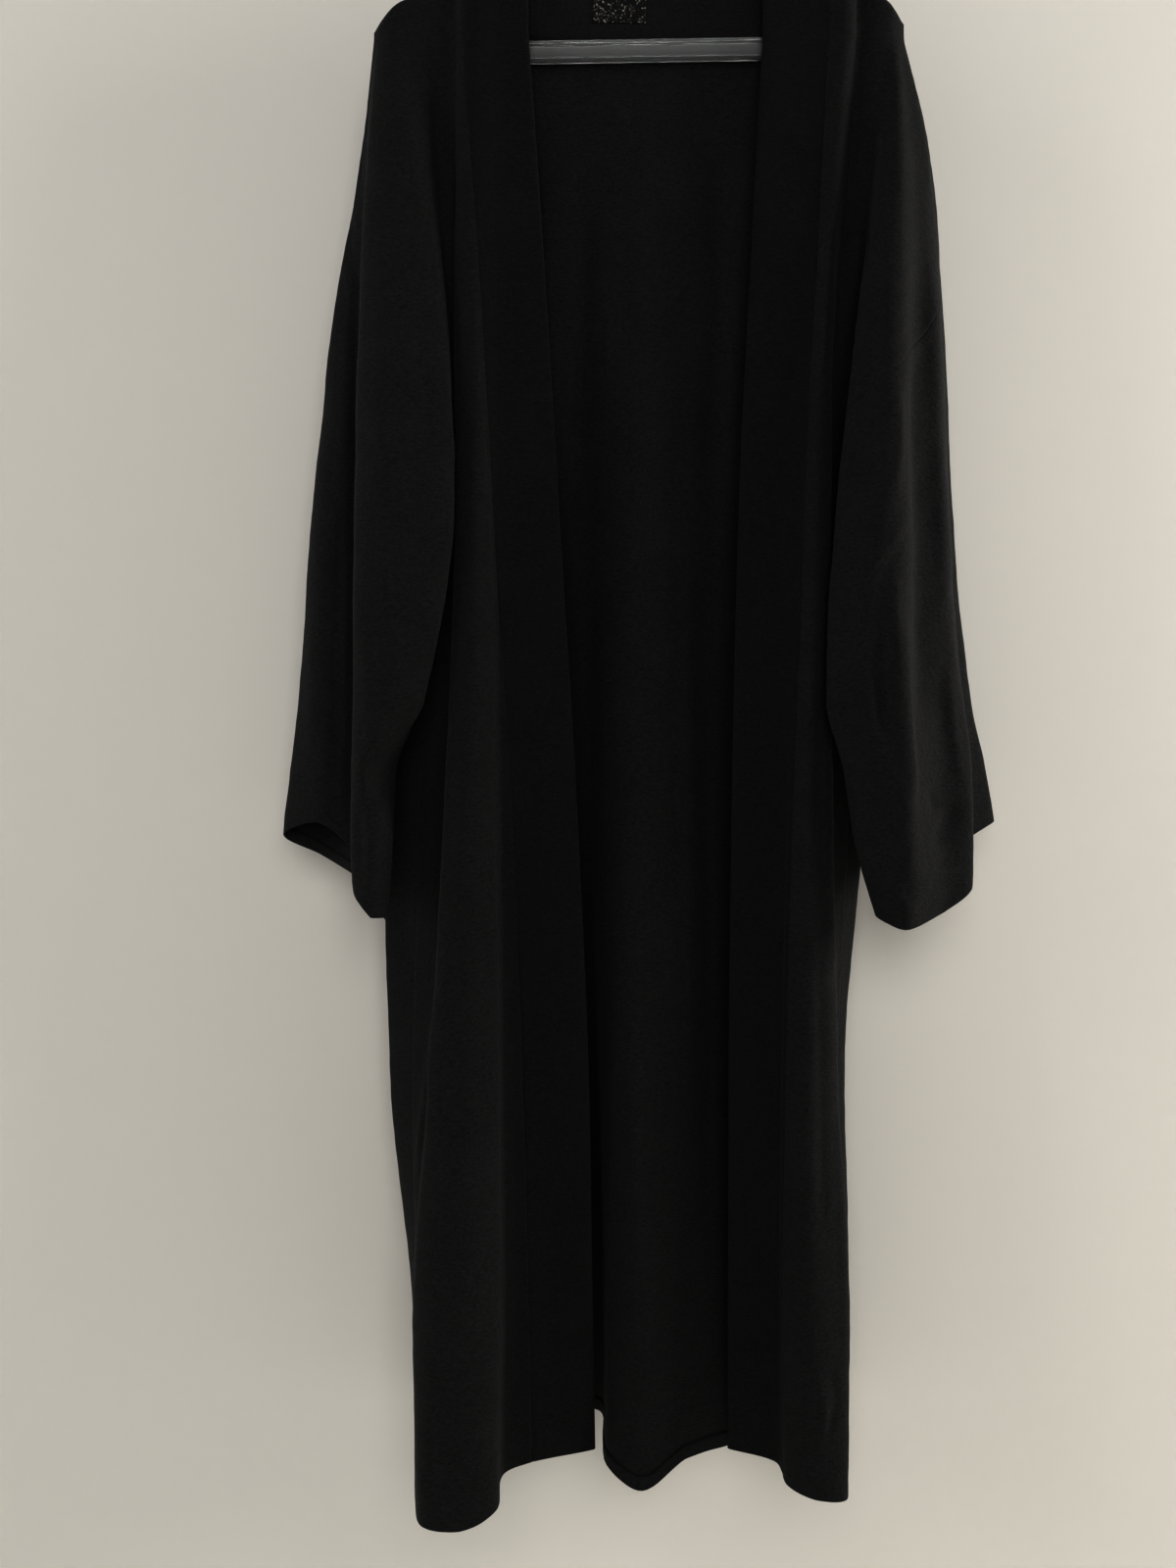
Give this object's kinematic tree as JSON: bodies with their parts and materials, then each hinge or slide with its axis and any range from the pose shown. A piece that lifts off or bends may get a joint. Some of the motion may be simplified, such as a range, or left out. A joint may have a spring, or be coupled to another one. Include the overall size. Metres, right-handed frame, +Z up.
{
  "type": "abaya cloak on a clothes hanger",
  "caption": "Full-length open-front abaya cloak in plain black crepe, with wide drop-shoulder sleeves and a flat front band, hanging on a clear plastic hanger.",
  "frame": {"origin": "inside top of the hanger's hook, where a rod carries it", "axes": "+X to the viewer's right, +Y away from the viewer (towards the cloak's back), +Z up"},
  "size_m": [0.6368, 0.1469, 1.4255],
  "materials": {
    "crepe": "matt crepe with a fine pebbled grain",
    "crepe_band": "matt crepe, two layers, topstitched",
    "clear_plastic": "clear moulded, glossy"
  },
  "bodies": {
    "root": {"back_panel": "crepe", "neck_band": "crepe_band", "front_panel_left": "crepe", "front_panel_right": "crepe", "front_band_left": "crepe_band", "front_band_right": "crepe_band", "sleeve_left": "crepe", "sleeve_right": "crepe", "hanger_frame": "clear_plastic", "hanger_hook": "clear_plastic"}
  },
  "joints": []
}
